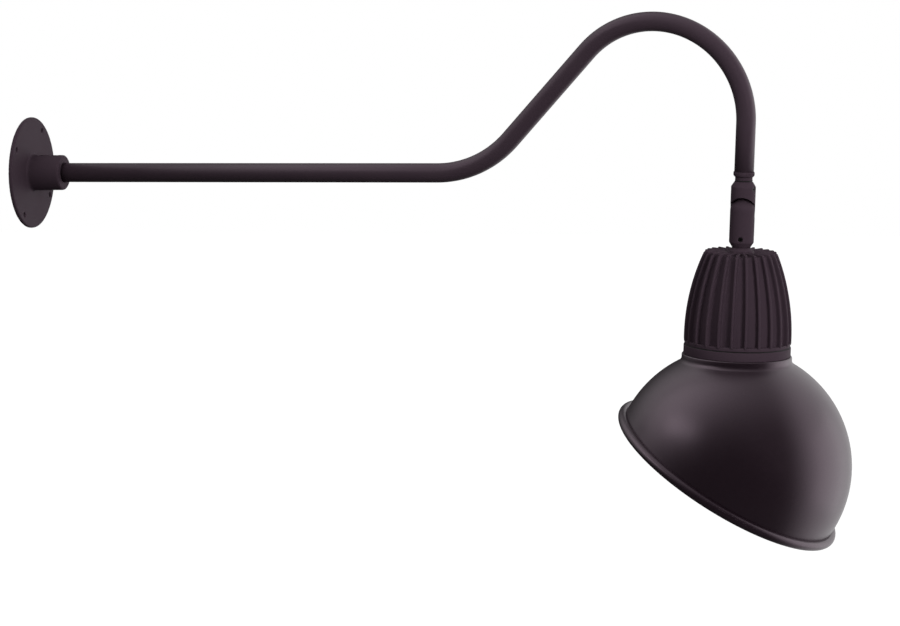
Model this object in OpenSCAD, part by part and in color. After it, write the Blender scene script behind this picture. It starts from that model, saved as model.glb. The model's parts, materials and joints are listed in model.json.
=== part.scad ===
// Gooseneck wall light with a finned LED head and an angled dome shade.
// Millimetres. +Z is up and +X points away from the wall along the arm.
// The origin is the centre of the wall plate's back face.

/* [Wall plate] */
// Diameter of the round wall plate
plate_d = 124; // [118:1:150]
// Thickness of the plate
plate_t = 4; // [3:0.5:6]
// Radius on the front edge of the plate
plate_edge_r = 1.5; // [0.5:0.25:2.5]
// Diameter of the hub where it leaves the plate
hub_d = 40; // [36:0.5:48]
// Length of the hub in front of the plate
hub_l = 37.5; // [32:0.5:50]
// Casting draft of the hub, on the radius
hub_draft = 0.4; // [0:0.1:1]
// Radius on the front edge of the hub
hub_edge_r = 2; // [0.5:0.25:3]
// Fillet between hub and plate
hub_fillet_r = 3; // [1:0.5:5]
// Diameter of the circle of mounting holes
bolt_pcd = 107; // [100:1:108]
// Diameter of the mounting holes
bolt_hole_d = 5.5; // [4:0.5:6]
// Number of mounting holes
bolt_count = 4; // [3:1:6]
// Angle of the first mounting hole
bolt_angle = 56; // [0:1:90]
// Diameter of the wireway through the back of the plate
wireway_d = 13; // [9:0.5:14]
// Thickness of the foam gasket in the back of the plate
wall_gasket_t = 1.5; // [1:0.25:2]
// Inner diameter of the foam gasket
wall_gasket_id = 62; // [50:1:75]
// Thread diameter of the set screws in the hub
hub_screw_d = 8; // [6:0.5:8]
// Length of the set screws in the hub
hub_screw_l = 7.5; // [5:0.5:8.5]
// Distance of the first set screw from the front of the plate
hub_screw_x = 11; // [11:0.5:13]
// Distance between the two set screws
hub_screw_pitch = 15; // [12:0.5:18]

/* [Gooseneck arm] */
// Outside diameter of the steel pipe
arm_od = 21.3; // [20:0.1:22]
// Wall of the pipe
arm_wall = 2.8; // [2:0.1:3.2]
// Depth of the pipe in the hub
arm_grip = 31; // [28:0.5:31.5]
// Distance from the wall to the start of the rise
arm_straight = 484; // [200:1:700]
// Radius of the first bend, to the pipe's centre line
rise_bend_r = 118; // [80:1:180]
// Slope of the rise above level
rise_angle = 46.5; // [30:0.5:60]
// Straight length of the rise
rise_l = 132; // [80:1:200]
// Radius of the arch, to the pipe's centre line
arch_r = 103; // [80:1:140]
// How far the end of the arm leans back to the wall from plumb
drop_lean = 4; // [0:0.5:10]
// Straight length of pipe after the arch
drop_l = 52.8; // [30:0.1:90]

/* [Swivel knuckle] */
// Diameter of the knuckle
knuckle_d = 26.8; // [26.2:0.1:30]
// Length of the upper half, from the pivot to its top
upper_l = 31.5; // [31:0.5:45]
// Length of the lower half, from the pivot to its bottom
lower_l = 39.7; // [33:0.1:45]
// Turn of the whole knuckle about its own axis, as it is set in the photo
knuckle_turn = 11; // [-30:1:30]
// Height of the bevel at the two outer ends
knuckle_bevel_h = 5.4; // [3:0.1:6]
// Width of the bevel at the two outer ends
knuckle_bevel_w = 3.4; // [2:0.1:3.5]
// Running gap between a rounded tongue and the shoulder over it
shoulder_gap = 1.5; // [1:0.1:2]
// Floor between the stem bore and the shoulder
bore_floor = 4.2; // [3:0.1:6]
// Diameter of the two stems that turn in the knuckle
stem_d = 18.8; // [18:0.1:19]
// Running clearance round a stem, on the radius
turn_fit = 0.05; // [0.03:0.01:0.1]
// Visible length of the upper stem
neck_l = 5.4; // [4:0.1:8]
// Diameter of the flange at the end of the pipe
end_flange_d = 22.6; // [22.2:0.1:26]
// Height of the flange at the end of the pipe
end_flange_h = 5.4; // [3:0.1:8]
// Length of the stem fitting inside the pipe
spigot_in_pipe_l = 18; // [12:1:24]
// Diameter of the wireway through the stems
stem_bore_d = 9; // [7:0.5:10]
// Section of the seal ring on the upper stem
seal_ring_t = 1.8; // [1.2:0.1:2.4]
// How far the seal ring stands out of its groove
seal_ring_out = 0.25; // [0.1:0.05:0.4]
// Thread diameter of the pivot screw
pivot_d = 8; // [7:0.5:8.5]
// Diameter of the head of the pivot screw
pivot_head_d = 12.6; // [12.4:0.1:13]
// Height of the head of the pivot screw
pivot_head_h = 4; // [3:0.1:4.2]
// Thickness of the friction washer between the tongues
friction_t = 0.6; // [0.4:0.1:1]
// Thickness of the spring washer under the pivot screw's head
spring_t = 1.5; // [1:0.1:1.6]
// Thread diameter of the lock screws in the knuckle
lock_screw_d = 5; // [4:0.5:5]
// Distance of the upper lock screw from the top of the knuckle
upper_lock_in = 7.5; // [7:0.1:8]
// Distance of the lower lock screw from the bottom of the knuckle
lower_lock_in = 9.4; // [8:0.1:10]
// Turn of the upper lock screw from the side of the knuckle toward its front
upper_lock_turn = 24; // [0:1:40]

/* [Heat sink] */
// Diameter over the fins at the base
sink_d = 117; // [115:0.5:122]
// Height of the heat sink
sink_h = 102; // [90:1:130]
// Number of fins
fin_count = 24; // [12:1:30]
// Thickness of a fin
fin_t = 3; // [2:0.2:4.4]
// Height of a fin over the core
fin_h = 6; // [3:0.5:10]
// Radius of the curve that the fins taper along
fin_arc_r = 229; // [200:1:400]
// Height of the straight foot of the fins
fin_foot_h = 5.5; // [3:0.5:20]
// Bevel on the top corner of a fin
fin_bevel = 1.2; // [0.5:0.1:4]
// Turn of the fins about the head's axis
fin_phase = 2.5; // [0:0.5:15]
// Thickness of the flange under the fins
sink_flange_t = 4; // [3:0.5:9]
// How far the fins overhang the flange
fin_overhang = 1.2; // [0:0.1:2]
// Drop of the core's top below the tops of the fins
crown_h = 3; // [2:0.5:5]
// Thread diameter of the head stem
head_thread_d = 16; // [14:0.5:18]
// Height of the cone between the knuckle and the heat sink
cone_h = 4; // [3:0.5:6]
// Widest diameter of the cone
cone_d = 27; // [25:0.5:32]
// Length of the thread of the head stem in the heat sink
head_thread_l = 14; // [10:1:16]
// Diameter of the driver cavity
cavity_d = 52; // [51:0.5:53]
// Roof over the driver cavity, down from the top of the fins
cavity_roof = 20; // [19:0.5:24]

/* [LED and driver] */
// Diameter of the driver can
driver_d = 38; // [34:1:39]
// Length of the driver can
driver_l = 62; // [40:1:66]
// Diameter of the LED carrier plate
carrier_d = 80; // [74:1:82]
// Thickness of the LED carrier plate
carrier_t = 5; // [4:0.5:5]
// Thickness of the thermal pad
pad_t = 0.5; // [0.3:0.1:1]
// Diameter of the LED board
board_d = 56; // [50:1:58]
// Thickness of the LED board
board_t = 1.6; // [1:0.2:2]
// Diameter of the LED chip
chip_d = 22; // [16:1:24]
// Height of the LED chip
chip_h = 1.4; // [1:0.1:2]
// Diameter of the reflector's small opening
reflector_small_d = 27; // [26:1:32]
// Wall of the reflector
reflector_wall = 1; // [0.8:0.1:1.4]

/* [Shade and lens] */
// Thickness of the gasket between heat sink and collar
collar_gasket_t = 1; // [0.5:0.1:1.5]
// Height of the collar under the heat sink
collar_h = 9.8; // [9:0.1:18]
// Length of the collar's threaded spigot inside the shade
spigot_l = 10; // [9.5:0.5:14]
// Outer diameter of the collar's spigot
spigot_d = 107; // [106:0.5:108]
// Diameter of the bore through the collar
collar_bore_d = 100; // [99:0.5:101]
// Outside radius of the shade's dome
dome_r = 129.4; // [120:0.1:160]
// Sheet thickness of the shade
shade_t = 2; // [1.2:0.1:2.4]
// Tilt of the shade's mouth from square to the head
shade_tilt = 30; // [15:1:35]
// Depth of the straight skirt below the dome's equator
skirt_h = 11.5; // [6:0.5:20]
// Diameter of the rolled bead round the mouth
bead_d = 10.8; // [6:0.2:12]
// How far the bead's centre line stands outside the skirt
bead_out = 1.5; // [0:0.1:3]
// Outer diameter of the shade's neck
neck_d = 119.6; // [118.6:0.1:121]
// Height of the straight neck
neck_h = 7.9; // [6:0.1:9]
// Height of the nut that clamps the shade
shade_nut_h = 4.5; // [3.5:0.1:5]
// Thickness of the glass lens
lens_t = 4; // [3:0.5:6]
// Thickness of the gasket over the lens
lens_seal_t = 1.5; // [1:0.1:2]
// Thickness of the lens ring's lip
lens_lip_t = 2.5; // [1.5:0.1:4]

/* [Clearances] */
// Gap round the pipe in the hub and round pieces that are set in a recess
seat_fit = 0.15; // [0.05:0.01:0.3]
// Gap round a screw or a spigot in its threaded hole
thread_fit = 0.05; // [0.02:0.01:0.1]
// Extra diameter of a plain hole or recess round a screw
screw_free = 0.4; // [0.2:0.1:0.6]
// Gap between a turning piece's end and what it faces
end_gap = 0.3; // [0.3:0.1:1]
// Gap between a washer on the pivot screw and the face that turns against it
slip_gap = 0.05; // [0.03:0.01:0.1]

/* [Hidden] */
$fn = 96;
eps = 0.01;
bronze = "#3b3033";
dark = "#1c191b";

// Points along the arm
rise_x = arm_straight + rise_bend_r * sin(rise_angle);
rise_z = rise_bend_r * (1 - cos(rise_angle));
crest_x = rise_x + rise_l * cos(rise_angle) + arch_r * sin(rise_angle);
crest_z = rise_z + rise_l * sin(rise_angle) - arch_r * cos(rise_angle);
end_x = crest_x + arch_r * cos(drop_lean);
end_z = crest_z - arch_r * sin(drop_lean);
arm_id = arm_od - 2 * arm_wall;
arm_start = plate_t + hub_l - arm_grip;
seam = 0.01;
seam_key_l = 2;
wall_gasket_od = bolt_pcd - bolt_hole_d - 3;

// Levels along the head's axis, above and below the pivot
z_neck = upper_l + neck_l;
z_pipe_end = z_neck + end_flange_h;
z_cone = -lower_l - end_gap;
z_sink = z_cone - cone_h;
z_base = z_sink - sink_h;
z_collar = z_base - collar_gasket_t;
z_shade = z_collar - collar_h;
z_spigot = z_shade - spigot_l;
z_lens = z_spigot - lens_seal_t;
z_lip = z_lens - lens_t;
z_board = z_base - pad_t - board_t;
z_chip = z_board - chip_h;

// Knuckle
knuckle_r = knuckle_d / 2;
shoulder_r = knuckle_r + shoulder_gap;
bore_end = shoulder_r + bore_floor;
stem_bore_r = stem_d / 2 + turn_fit;
stem_end = bore_end + 2 * end_gap;
groove_depth = 0.5;
groove_h = lock_screw_d + 2 * end_gap;
upper_lock_z = upper_l - upper_lock_in;
lower_lock_z = lower_lock_in - lower_l;
lock_screw_sunk = 0.8;
// The pivot screw's head sits tongue_floor behind the joint, its tip pivot_reach in front of it
tongue_floor = 7;
pivot_reach = 9.3;
// The leads pass the pivot in a ring-shaped channel, and reach it from the bore by a passage
channel_in_r = 6.5;
channel_out_r = 10.5;
channel_depth = 5;
passage_d = 7;
passage_y = channel_depth - 0.8;

// Head
sink_r = sink_d / 2;
flange_r = sink_r - fin_overhang;
sink_boss_r = cone_d / 2 + 1;
flange_bevel = 0.8;
flange_lap = 1.5 * flange_bevel;
fin_steps = 8;
core_steps = 3;
collar_r = sink_r - 0.4;
fin_foot_z = z_base + sink_flange_t + fin_foot_h;
web_t = 4;
web_d = carrier_d + 1;
web_screw_r = (web_d + collar_bore_d) / 4;
web_screw_d = 4;
web_screw_grip = 3.5;
gasket_inset = 0.7;
carrier_screw_r = (cavity_d + carrier_d) / 4 + 0.4;
carrier_screw_d = 4;
carrier_screw_l = 8;
carrier_head_depth = 3;
board_screw_r = board_d / 2 - 5;
board_screw_d = 3;
board_screw_grip = 3;
wire_slot_r = board_d / 4 + 4;
wire_slot_d = 5;
lens_d = spigot_d - 1;
neck_r = neck_d / 2;
spigot_r = spigot_d / 2;
dome_z = z_shade - neck_h - sqrt(pow(dome_r, 2) - pow(neck_r, 2));
driver_top = z_sink - cavity_roof;
driver_ear_t = 3;
driver_ear_w = 12;
driver_lead_d = 12;
driver_screw_r = 23;
driver_screw_d = 3;
driver_screw_grip = 5;
lens_notch_d = 5;

// Head diameter of a pan head screw
function pan_head(d) = 1.75 * d;

// A cylinder along +X from the origin
module rod_x(d, l) {
    rotate([0, 90, 0]) cylinder(d = d, h = l);
}

// A flat ring with its lower face on z = 0
module ring(od, id, h) {
    difference() {
        cylinder(d = od, h = h);
        translate([0, 0, -eps]) cylinder(d = id, h = h + 2 * eps);
    }
}

// A profile corner from (x0, y0) to (x1, y1) whose outer upper corner is round
module round_corner(x0, y0, x1, y1, r) {
    translate([x0, y0]) square([x1 - x0, y1 - y0 - r]);
    translate([x0, y0]) square([x1 - x0 - r, y1 - y0]);
    translate([x1 - r, y1 - r]) circle(r = r);
}

// Puts a piece at each of n places on a circle of radius r
module around(n, r, phase = 0) {
    for (i = [0 : n - 1]) rotate([0, 0, phase + i * 360 / n]) translate([r, 0, 0]) children();
}

// The frame at the end of the arm: origin at the pivot, z along the head's axis
module at_pivot() {
    translate([end_x, 0, end_z]) rotate([0, drop_lean, 0])
        translate([0, 0, -drop_l - z_pipe_end]) children();
}

// The same frame, turned as the knuckle is turned: its pivot screw runs along y
module at_knuckle() {
    at_pivot() rotate([0, 0, knuckle_turn]) children();
}

// The hexagon socket in a screw whose top is on z = 0
module hex_socket(across, depth) {
    translate([0, 0, -depth]) cylinder(d = across / cos(30), h = depth + 1, $fn = 6);
}

// A pan head screw pointing up, with the underside of its head on z = 0
module pan_screw(d, l) {
    head_h = 0.6 * d;
    difference() {
        union() {
            cylinder(d = d, h = l);
            translate([0, 0, -head_h]) cylinder(d = pan_head(d), h = head_h);
        }
        mirror([0, 0, 1]) translate([0, 0, head_h]) hex_socket(d * 0.6, head_h * 0.6);
    }
}

// Outline of plate and hub, turned about the arm's axis
module plate_profile() {
    hub_r = hub_d / 2;
    hub_end = plate_t + hub_l;
    nose_r = hub_r - hub_draft;
    round_corner(0, 0, plate_d / 2, plate_t, plate_edge_r);
    polygon([[0, 0], [hub_r, 0], [hub_r, plate_t], [nose_r, hub_end - hub_edge_r],
        [0, hub_end - hub_edge_r]]);
    round_corner(0, plate_t, nose_r, hub_end, hub_edge_r);
    difference() {
        translate([hub_r - hub_draft, plate_t - eps]) square(hub_fillet_r + hub_draft);
        translate([hub_r + hub_fillet_r, plate_t + hub_fillet_r]) circle(r = hub_fillet_r);
    }
}

// The foam gasket, or the recess for it when fit is its clearance
module wall_gasket_shape(fit, t) {
    rotate([0, 90, 0]) ring(wall_gasket_od + 2 * fit, wall_gasket_id - 2 * fit, t);
}

module wall_plate() {
    color(bronze) difference() {
        rotate([0, 90, 0]) rotate_extrude() plate_profile();
        translate([arm_start, 0, 0]) rod_x(arm_od + 2 * seat_fit, arm_grip + 1);
        translate([-1, 0, 0]) rod_x(wireway_d, arm_start + 2);
        translate([-1, 0, 0]) wall_gasket_shape(seat_fit, wall_gasket_t + 1);
        rotate([bolt_angle, 0, 0]) for (i = [0 : bolt_count - 1]) rotate([i * 360 / bolt_count, 0, 0])
            translate([-1, bolt_pcd / 2, 0]) rod_x(bolt_hole_d, plate_t + 2);
        for (i = [0, 1]) translate([plate_t + hub_screw_x + i * hub_screw_pitch, 0, 0])
            cylinder(d = hub_screw_d + 2 * thread_fit, h = hub_d);
    }
}

module wall_gasket() {
    color(dark) wall_gasket_shape(0, wall_gasket_t);
}

module hub_set_screws() {
    color(dark) for (i = [0, 1])
        translate([plate_t + hub_screw_x + i * hub_screw_pitch, 0, arm_od / 2]) difference() {
            cylinder(d = hub_screw_d, h = hub_screw_l);
            translate([0, 0, hub_screw_l]) hex_socket(hub_screw_d / 2, hub_screw_l / 2);
        }
}

// A hollow cylinder along +X from the origin
module tube_x(od, id, l) {
    rotate([0, 90, 0]) ring(od, id, l);
}

// A straight length of pipe along +X. It stops a hairline short of each bend, and a ring inside
// its wall reaches across, so that pipe and bend are one solid whatever the bend's angle is.
module pipe(l, joined = [true, true]) {
    translate([joined[0] ? seam : 0, 0, 0])
        tube_x(arm_od, arm_id, l - (joined[0] ? seam : 0) - (joined[1] ? seam : 0));
    for (i = [0, 1]) if (joined[i]) translate([i * l - seam_key_l / 2, 0, 0])
        tube_x(arm_od - 0.8 * arm_wall, arm_id + 0.6 * arm_wall, seam_key_l);
}

// A bend of pipe that starts at the origin along +X and turns toward +Z
module bend(r, angle) {
    translate([0, 0, r]) rotate([90, 0, 0]) rotate([0, 0, -90]) rotate_extrude(angle = angle)
        translate([r, 0]) difference() {
            circle(d = arm_od);
            circle(d = arm_id);
        }
}

module gooseneck_tube() {
    color(bronze) {
        translate([arm_start, 0, 0]) pipe(arm_straight - arm_start, [false, true]);
        translate([arm_straight, 0, 0]) bend(rise_bend_r, rise_angle);
        translate([rise_x, 0, rise_z]) rotate([0, -rise_angle, 0]) {
            pipe(rise_l);
            translate([rise_l, 0, 0]) rotate([180, 0, 0]) bend(arch_r, rise_angle + 90 + drop_lean);
        }
        translate([end_x, 0, end_z]) rotate([0, 90 + drop_lean, 0]) pipe(drop_l, [true, false]);
    }
}

// A stem that turns in the knuckle: from z0 down to z1, with a groove for the lock screw
module stem_shape(z0, z1, lock_z) {
    difference() {
        translate([0, 0, z1]) cylinder(d = stem_d, h = z0 - z1);
        translate([0, 0, lock_z - groove_h / 2]) ring(stem_d + 2, stem_d - 2 * groove_depth, groove_h);
    }
}

module seal_ring_shape() {
    translate([0, 0, upper_l + end_gap + seal_ring_t / 2]) rotate_extrude()
        translate([stem_d / 2 - seal_ring_t / 2 + seal_ring_out, 0]) circle(d = seal_ring_t);
}

module arm_stem() {
    color(bronze) at_pivot() difference() {
        union() {
            stem_shape(z_neck + eps, stem_end, upper_lock_z);
            translate([0, 0, z_neck]) cylinder(d = end_flange_d, h = end_flange_h);
            translate([0, 0, z_pipe_end]) cylinder(d = arm_id - 2 * thread_fit, h = spigot_in_pipe_l);
        }
        cylinder(d = stem_bore_d, h = z_pipe_end + spigot_in_pipe_l + 1);
        seal_ring_shape();
    }
}

module stem_seal_ring() {
    color(dark) at_pivot() seal_ring_shape();
}

// One half of the knuckle, with its body up to z = l and its tongue on the +Y side.
// The hole for its lock screw points along +X when lock_turn is 0.
module knuckle_half(l, lock_z, lock_turn) {
    difference() {
        union() {
            sphere(r = knuckle_r);
            cylinder(r = knuckle_r, h = l - knuckle_bevel_h);
            translate([0, 0, l - knuckle_bevel_h])
                cylinder(r1 = knuckle_r, r2 = knuckle_r - knuckle_bevel_w, h = knuckle_bevel_h);
        }
        translate([0, friction_t / 2, 0]) rotate([90, 0, 0]) cylinder(r = shoulder_r, h = knuckle_d);
        translate([0, 0, bore_end]) cylinder(r = stem_bore_r, h = l);
        translate([0, passage_y, channel_in_r + 2]) cylinder(d = passage_d, h = bore_end - channel_in_r);
        translate([0, 0, lock_z]) rotate([0, 0, lock_turn])
            rod_x(lock_screw_d + 2 * thread_fit, knuckle_d);
        translate([0, friction_t / 2 + channel_depth, 0]) rotate([90, 0, 0])
            ring(2 * channel_out_r, 2 * channel_in_r, channel_depth + 1);
    }
}

module swivel_upper() {
    color(bronze) at_knuckle() difference() {
        knuckle_half(upper_l, upper_lock_z, -upper_lock_turn);
        rotate([-90, 0, 0]) cylinder(d = pivot_d + 2 * turn_fit, h = knuckle_d);
        translate([0, tongue_floor, 0]) rotate([-90, 0, 0])
            cylinder(d = pivot_head_d + 4 * seat_fit, h = knuckle_d);
    }
}

// A cup point set screw along +X, with its tip at tip_r and its outer end inside the knuckle
module lock_screw(tip_r) {
    l = knuckle_r - tip_r - lock_screw_sunk;
    translate([tip_r, 0, 0]) difference() {
        rod_x(lock_screw_d, l);
        translate([l, 0, 0]) rotate([0, 90, 0]) hex_socket(lock_screw_d / 2, l / 2);
    }
}

module upper_lock_screw() {
    color(dark) at_knuckle() translate([0, 0, upper_lock_z]) rotate([0, 0, -upper_lock_turn])
        lock_screw(stem_d / 2 - groove_depth + end_gap);
}

// The lower half is the same shape turned over, with its lock screw at the front
module swivel_lower() {
    color(bronze) at_knuckle() difference() {
        rotate([180, 0, 0]) knuckle_half(lower_l, -lower_lock_z, 90);
        rotate([90, 0, 0]) cylinder(d = pivot_d + 2 * thread_fit, h = pivot_reach + end_gap);
    }
}

module lower_lock_screw() {
    color(dark) at_knuckle() translate([0, 0, lower_lock_z]) rotate([0, 0, -90])
        lock_screw(stem_d / 2 - groove_depth + end_gap);
}

module pivot_screw() {
    under_head = tongue_floor + spring_t;
    color(dark) at_knuckle() rotate([-90, 0, 0]) difference() {
        union() {
            translate([0, 0, -pivot_reach]) cylinder(d = pivot_d, h = pivot_reach + under_head + eps);
            translate([0, 0, under_head]) cylinder(d = pivot_head_d, h = pivot_head_h);
        }
        translate([0, 0, under_head + pivot_head_h]) hex_socket(pivot_d * 0.6, pivot_head_h * 0.6);
    }
}

module pivot_spring_washer() {
    color("silver") at_knuckle() translate([0, tongue_floor + slip_gap, 0]) rotate([-90, 0, 0])
        ring(pivot_head_d, pivot_d + 2 * seat_fit, spring_t - slip_gap);
}

module pivot_friction_washer() {
    color("ivory") at_knuckle() translate([0, -friction_t / 2, 0]) rotate([-90, 0, 0])
        ring(2 * (channel_in_r - seat_fit), pivot_d + 2 * seat_fit, friction_t - slip_gap);
}

module head_stem() {
    color(bronze) at_pivot() difference() {
        union() {
            stem_shape(-stem_end, z_cone - eps, lower_lock_z);
            translate([0, 0, z_sink]) cylinder(d1 = cone_d, d2 = stem_d + 1, h = cone_h);
            translate([0, 0, z_sink - head_thread_l]) cylinder(d = head_thread_d, h = head_thread_l + eps);
        }
        translate([0, 0, z_sink - head_thread_l - 1]) cylinder(d = stem_bore_d, h = head_thread_l - z_sink);
    }
}

// How far a fin reaches from the head's axis at a level
function fin_reach(z) =
    sink_r - fin_arc_r + sqrt(pow(fin_arc_r, 2) - pow(max(0, z - fin_foot_z), 2));

// Points along the fins' curve in straight steps, set in by inset, up to a level
function fin_curve(inset, top, steps) =
    [for (i = [0 : steps]) let (z = fin_foot_z + i * (top - fin_foot_z) / steps) [fin_reach(z) - inset, z]];

// Side view of a fin: its outer edge follows the curve down to a straight foot over the flange's
// edge, and its top dips where it runs into the boss
module fin_outline() {
    foot = z_base + sink_flange_t - flange_lap;
    boss_r = sink_boss_r - 1.5;
    wall_r = cavity_d / 2 + 1;
    polygon(concat(
        [[wall_r, z_base + 1], [flange_r - 1, z_base + 1], [flange_r - 1, foot], [sink_r, foot]],
        fin_curve(0, z_sink - fin_bevel, fin_steps),
        [[fin_reach(z_sink) - fin_bevel, z_sink], [boss_r + 4, z_sink], [boss_r, z_sink - crown_h / 2],
            [boss_r, driver_top], [wall_r, driver_top]]));
}

// Half section of the core, whose side runs fin_h inside the fins
module core_outline() {
    top = z_sink - crown_h;
    polygon(concat([[0, top], [0, z_base + 1], [sink_r - fin_h, z_base + 1]],
        fin_curve(fin_h, top, core_steps)));
}

module heat_sink() {
    color(bronze) at_pivot() difference() {
        union() {
            around(fin_count, 0, fin_phase - 90 + 180 / fin_count) rotate([90, 0, 0])
                linear_extrude(fin_t, center = true) fin_outline();
            rotate_extrude() {
                core_outline();
                translate([0, z_base]) square([sink_boss_r, sink_h]);
                polygon([[0, z_base], [flange_r, z_base], [flange_r, z_base + sink_flange_t - flange_bevel],
                    [flange_r - flange_bevel, z_base + sink_flange_t], [0, z_base + sink_flange_t]]);
            }
        }
        translate([0, 0, z_base - 1]) cylinder(d = cavity_d, h = sink_h - cavity_roof + 1);
        translate([0, 0, z_base - 1]) cylinder(d = carrier_d + 2 * seat_fit, h = carrier_t + 1);
        translate([0, 0, z_base]) cylinder(d = head_thread_d + 2 * thread_fit, h = sink_h + 1);
        around(3, carrier_screw_r) translate([0, 0, z_base]) cylinder(
            d = carrier_screw_d + 2 * thread_fit, h = carrier_head_depth + carrier_screw_l + end_gap);
        around(4, web_screw_r, 45) translate([0, 0, z_base - 1])
            cylinder(d = web_screw_d + 2 * thread_fit, h = web_screw_grip + 2);
        for (side = [-1, 1]) translate([side * driver_screw_r, 0, driver_top - 1])
            cylinder(d = driver_screw_d + 2 * thread_fit, h = driver_screw_grip + 2);
    }
}

module driver() {
    color("whitesmoke") at_pivot() translate([0, 0, driver_top]) difference() {
        union() {
            translate([0, 0, -driver_l]) cylinder(d = driver_d, h = driver_l);
            translate([0, 0, -driver_ear_t]) intersection() {
                cylinder(d = cavity_d - 2 * seat_fit, h = driver_ear_t);
                translate([-cavity_d / 2, -driver_ear_w / 2, 0]) cube([cavity_d, driver_ear_w, driver_ear_t]);
            }
        }
        translate([0, 0, -driver_lead_d]) cylinder(d = driver_lead_d, h = driver_lead_d + 1);
        for (side = [-1, 1]) translate([side * driver_screw_r, 0, -driver_ear_t - 1])
            cylinder(d = driver_screw_d + 2 * thread_fit, h = driver_ear_t + 2);
    }
}

module driver_screws() {
    color("silver") at_pivot() for (side = [-1, 1])
        translate([side * driver_screw_r, 0, driver_top - driver_ear_t])
            pan_screw(driver_screw_d, driver_ear_t + driver_screw_grip);
}

module led_carrier() {
    color("silver") at_pivot() difference() {
        translate([0, 0, z_base]) cylinder(d = carrier_d, h = carrier_t);
        translate([0, 0, z_base - 1]) {
            around(3, carrier_screw_r) {
                cylinder(d = carrier_screw_d + screw_free, h = carrier_t + 2);
                cylinder(d = pan_head(carrier_screw_d) + screw_free, h = carrier_head_depth + 1);
            }
            board_holes(board_screw_grip + end_gap + 1, carrier_t + 2);
        }
    }
}

module carrier_screws() {
    color("silver") at_pivot() around(3, carrier_screw_r) translate([0, 0, z_base + carrier_head_depth])
        pan_screw(carrier_screw_d, carrier_screw_l);
}

module thermal_pad() {
    color("slategray") at_pivot() translate([0, 0, z_base - pad_t]) difference() {
        cylinder(d = board_d, h = pad_t);
        translate([0, 0, -1]) board_holes(pad_t + 2, pad_t + 2);
    }
}

// The two screw holes and the wire slot that pad, board and carrier share
module board_holes(screw_h, slot_h) {
    around(2, board_screw_r, 90) cylinder(d = board_screw_d + 2 * thread_fit, h = screw_h);
    translate([wire_slot_r, 0, 0]) cylinder(d = wire_slot_d, h = slot_h);
}

module led_board() {
    color("white") at_pivot() translate([0, 0, z_board]) difference() {
        cylinder(d = board_d, h = board_t);
        translate([0, 0, -1]) board_holes(board_t + 2, board_t + 2);
    }
}

module board_screws() {
    color("silver") at_pivot() around(2, board_screw_r, 90) translate([0, 0, z_board])
        pan_screw(board_screw_d, board_t + pad_t + board_screw_grip);
}

module led_chip() {
    color("gold") at_pivot() translate([0, 0, z_chip]) cylinder(d = chip_d, h = chip_h);
}

module collar_gasket() {
    color(dark) at_pivot() translate([0, 0, z_collar]) difference() {
        ring(2 * (collar_r - gasket_inset), web_d, collar_gasket_t);
        translate([0, 0, -1]) around(4, web_screw_r, 45)
            cylinder(d = web_screw_d + screw_free, h = collar_gasket_t + 2);
    }
}

module shade_collar() {
    color(bronze) at_pivot() difference() {
        rotate_extrude() difference() {
            union() {
                translate([0, z_shade]) square([collar_r, collar_h]);
                translate([0, z_spigot]) square([spigot_r, spigot_l + eps]);
            }
            translate([0, z_spigot - 1]) square([collar_bore_d / 2, spigot_l + collar_h - web_t + 1]);
            translate([0, z_spigot]) square([web_d / 2, spigot_l + collar_h + 1]);
        }
        around(4, web_screw_r, 45) translate([0, 0, z_collar - web_t - 1])
            cylinder(d = web_screw_d + screw_free, h = web_t + 2);
    }
}

module collar_screws() {
    color("silver") at_pivot() around(4, web_screw_r, 45) translate([0, 0, z_collar - web_t])
        pan_screw(web_screw_d, web_t + collar_gasket_t + web_screw_grip);
}

// Half section of the dome, skirt and bead about the shade's own axis
module dome_profile(r, below) {
    intersection() {
        circle(r = r, $fn = 360);
        square(r);
    }
    translate([0, -below]) square([r, below + eps]);
}

module shade() {
    mouth = -skirt_h;
    neck_foot = dome_z + dome_r / 2;
    color(bronze) at_pivot() difference() {
        union() {
            translate([0, 0, dome_z]) rotate([0, shade_tilt, 0]) {
                rotate_extrude() dome_profile(dome_r, skirt_h);
                translate([0, 0, mouth]) rotate_extrude() translate([dome_r + bead_out, 0]) circle(d = bead_d);
            }
            translate([0, 0, neck_foot]) cylinder(r = neck_r, h = z_shade - neck_foot);
        }
        translate([0, 0, dome_z]) rotate([0, shade_tilt, 0])
            rotate_extrude() dome_profile(dome_r - shade_t, skirt_h + bead_d);
        translate([0, 0, dome_z]) cylinder(r = neck_r - shade_t, h = z_shade - dome_z - shade_t);
        translate([0, 0, dome_z]) cylinder(r = spigot_r + seat_fit, h = dome_r + 1);
    }
}

module shade_nut() {
    color(bronze) at_pivot() translate([0, 0, z_shade - shade_t - shade_nut_h])
        ring(neck_d - 2 * shade_t - 4 * seat_fit, spigot_d + 2 * thread_fit, shade_nut_h);
}

// The reflector widens along an arc from the chip to the lens
module reflector() {
    top_r = reflector_small_d / 2;
    foot_r = collar_bore_d / 2 - 4;
    bowl_h = z_chip - z_spigot;
    bowl_r = (pow(bowl_h, 2) + pow(foot_r - top_r, 2)) / (2 * bowl_h);
    color("gainsboro") at_pivot() rotate_extrude() {
        intersection() {
            difference() {
                translate([top_r, z_chip - bowl_r]) circle(r = bowl_r, $fn = 360);
                translate([top_r, z_chip - bowl_r]) circle(r = bowl_r - reflector_wall, $fn = 360);
            }
            translate([top_r, z_spigot]) square([foot_r - top_r + reflector_wall, bowl_h]);
        }
        translate([foot_r - reflector_wall, z_spigot])
            square([collar_bore_d / 2 - seat_fit - foot_r + reflector_wall, reflector_wall]);
    }
}

module lens_gasket() {
    color(dark) at_pivot() translate([0, 0, z_lens])
        ring(spigot_d - 2 * seat_fit, collar_bore_d - 6, lens_seal_t);
}

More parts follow.
